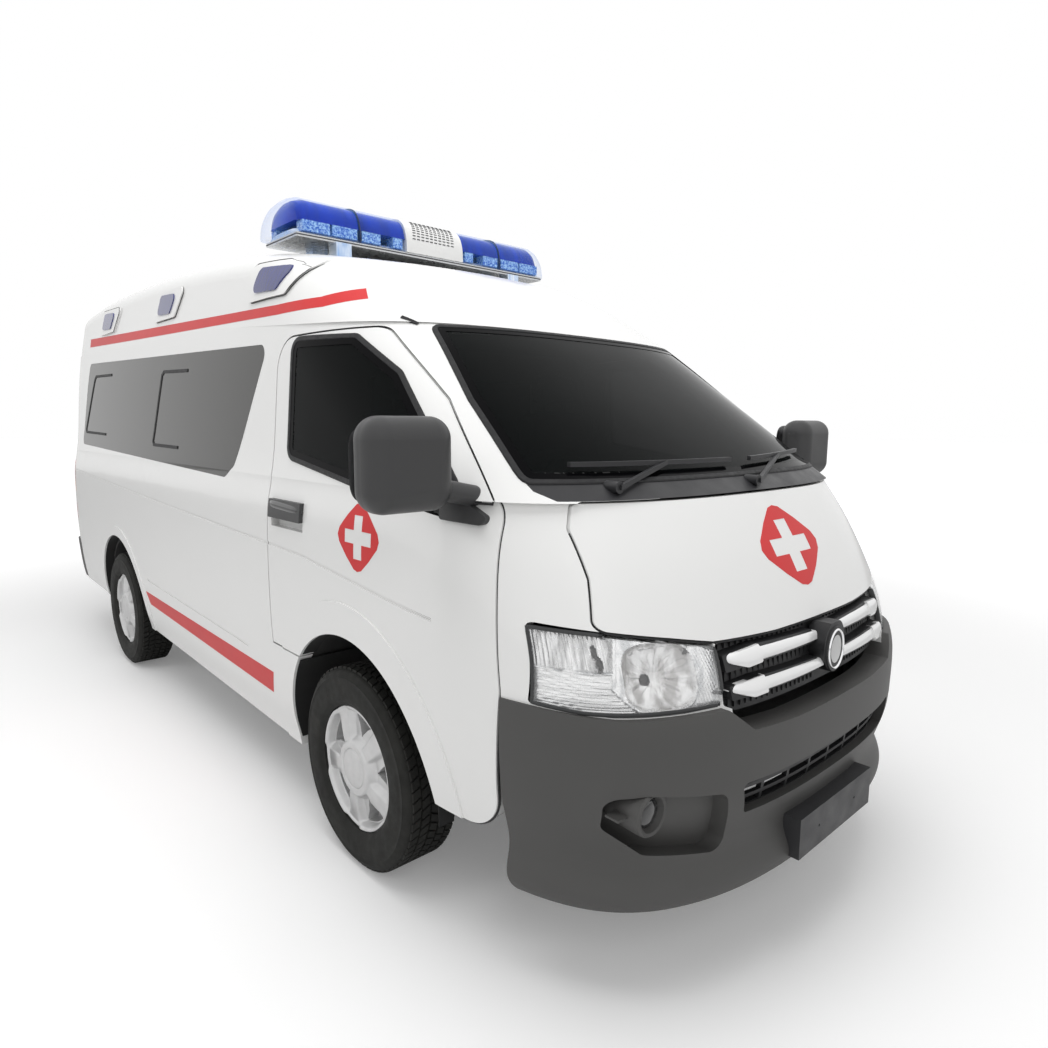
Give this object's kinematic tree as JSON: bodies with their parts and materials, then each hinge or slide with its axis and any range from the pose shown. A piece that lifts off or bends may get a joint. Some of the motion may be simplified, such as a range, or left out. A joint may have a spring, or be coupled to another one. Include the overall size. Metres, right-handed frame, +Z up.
{
  "type": "ambulance",
  "caption": "High-roof van ambulance with opening front doors, bonnet and tailgate, steered front wheels, hollow cab and load space, and a roof light bar.",
  "frame": {"origin": "on the ground, midway between the ends of the vehicle and between its sides", "axes": "+X towards the front of the vehicle, +Y towards its left side, +Z up"},
  "size_m": [4.84, 2.132, 2.215],
  "materials": {
    "body_white": "gloss",
    "roof_white": "gloss",
    "clear_glass": "clear",
    "grey_glass": "frosted",
    "black_plastic": "satin",
    "charcoal_plastic": "grained",
    "lamp_clear": "clear",
    "lamp_red": "clear",
    "lamp_blue": "clear",
    "white_plastic": "gloss",
    "silver_bar": "satin",
    "grille_black": "satin",
    "wheel_silver": "satin",
    "tyre": "matte",
    "seat_cloth": "woven",
    "cab_plastic": "grained",
    "cabin_panel": "satin",
    "bench_vinyl": "smooth",
    "chassis_black": "satin",
    "cast_grey": "rough",
    "exhaust_steel": "dull"
  },
  "bodies": {
    "root": {"floor_pan": "chassis_black", "cab_floor": "chassis_black", "side_right": "body_white", "side_left": "body_white", "sliding_door": "body_white", "side_glass": "grey_glass", "roof_cap": "roof_white", "fenders": "body_white", "windscreen": "clear_glass", "cowl_panel": "black_plastic", "front_bumper": "charcoal_plastic", "rear_bumper": "charcoal_plastic", "grille": "grille_black", "intake_grille": "black_plastic", "plate_bracket": "black_plastic", "headlamps": "lamp_clear", "fog_lamps": "lamp_clear", "tail_lamps": "lamp_red", "lightbar_base": "silver_bar", "lightbar_centre": "white_plastic", "lightbar_lenses": "lamp_blue", "roof_lamp_housings": "white_plastic", "roof_lamp_lenses": "lamp_blue", "wipers": "black_plastic", "dashboard": "cab_plastic", "steering_column": "cab_plastic", "front_seats": "seat_cloth", "partition": "cabin_panel", "bench_seat": "bench_vinyl", "cabinet": "cabin_panel", "engine": "cast_grey", "propshaft": "chassis_black", "rear_axle": "cast_grey", "leaf_springs": "chassis_black", "front_subframe": "chassis_black", "exhaust": "exhaust_steel", "fuel_tank": "chassis_black"},
    "door_right": {"door_right": "body_white", "door_glass_right": "clear_glass", "door_fittings_right": "black_plastic"},
    "door_left": {"door_left": "body_white", "door_glass_left": "clear_glass", "door_fittings_left": "black_plastic"},
    "tailgate": {"tailgate": "body_white", "tailgate_glass": "grey_glass"},
    "bonnet": {"bonnet": "body_white"},
    "knuckle_right": {"knuckle_right": "cast_grey"},
    "knuckle_left": {"knuckle_left": "cast_grey"},
    "steering_wheel": {"steering_wheel": "black_plastic"},
    "wheel_front_right": {"rim_front_right": "wheel_silver", "tyre_front_right": "tyre"},
    "wheel_front_left": {"rim_front_left": "wheel_silver", "tyre_front_left": "tyre"},
    "wheel_rear_right": {"rim_rear_right": "wheel_silver", "tyre_rear_right": "tyre"},
    "wheel_rear_left": {"rim_rear_left": "wheel_silver", "tyre_rear_left": "tyre"}
  },
  "joints": [
    {"name": "steer_right", "type": "hinge", "parent": "root", "child": "knuckle_right", "pos_m": [1.3, -0.618, 0.314], "axis": [0, 0, 1], "range_deg": [-33, 33]},
    {"name": "steer_left", "type": "hinge", "parent": "root", "child": "knuckle_left", "pos_m": [1.3, 0.618, 0.314], "axis": [0, 0, 1], "range_deg": [-33, 33]},
    {"name": "steering_wheel_turn", "type": "hinge", "parent": "root", "child": "steering_wheel", "pos_m": [1.592, -0.38, 1.168], "axis": [-0.6428, 0, 0.766], "range_deg": [-495, 495]},
    {"name": "roll_front_right", "type": "hinge", "parent": "knuckle_right", "child": "wheel_front_right", "pos_m": [1.3, -0.745, 0.314], "axis": [0, 1, 0], "continuous": true},
    {"name": "roll_front_left", "type": "hinge", "parent": "knuckle_left", "child": "wheel_front_left", "pos_m": [1.3, 0.745, 0.314], "axis": [0, 1, 0], "continuous": true},
    {"name": "roll_rear_right", "type": "hinge", "parent": "root", "child": "wheel_rear_right", "pos_m": [-1.27, -0.745, 0.314], "axis": [0, 1, 0], "continuous": true},
    {"name": "roll_rear_left", "type": "hinge", "parent": "root", "child": "wheel_rear_left", "pos_m": [-1.27, 0.745, 0.314], "axis": [0, 1, 0], "continuous": true},
    {"name": "door_right_swing", "type": "hinge", "parent": "root", "child": "door_right", "pos_m": [1.955, -0.812, 0.9], "axis": [0, 0, 1], "range_deg": [0, 65]},
    {"name": "door_left_swing", "type": "hinge", "parent": "root", "child": "door_left", "pos_m": [1.955, 0.812, 0.9], "axis": [0, 0, -1], "range_deg": [0, 65]},
    {"name": "tailgate_lift", "type": "hinge", "parent": "root", "child": "tailgate", "pos_m": [-2.358, 0, 1.77], "axis": [0, 1, 0], "range_deg": [0, 85]},
    {"name": "bonnet_lift", "type": "hinge", "parent": "root", "child": "bonnet", "pos_m": [2.17, 0, 1.182], "axis": [0, -1, 0], "range_deg": [0, 50]}
  ],
  "couplings": [
    {"joint": "steer_left", "follows": "steer_right", "ratio": 1},
    {"joint": "steering_wheel_turn", "follows": "steer_right", "ratio": 14}
  ]
}
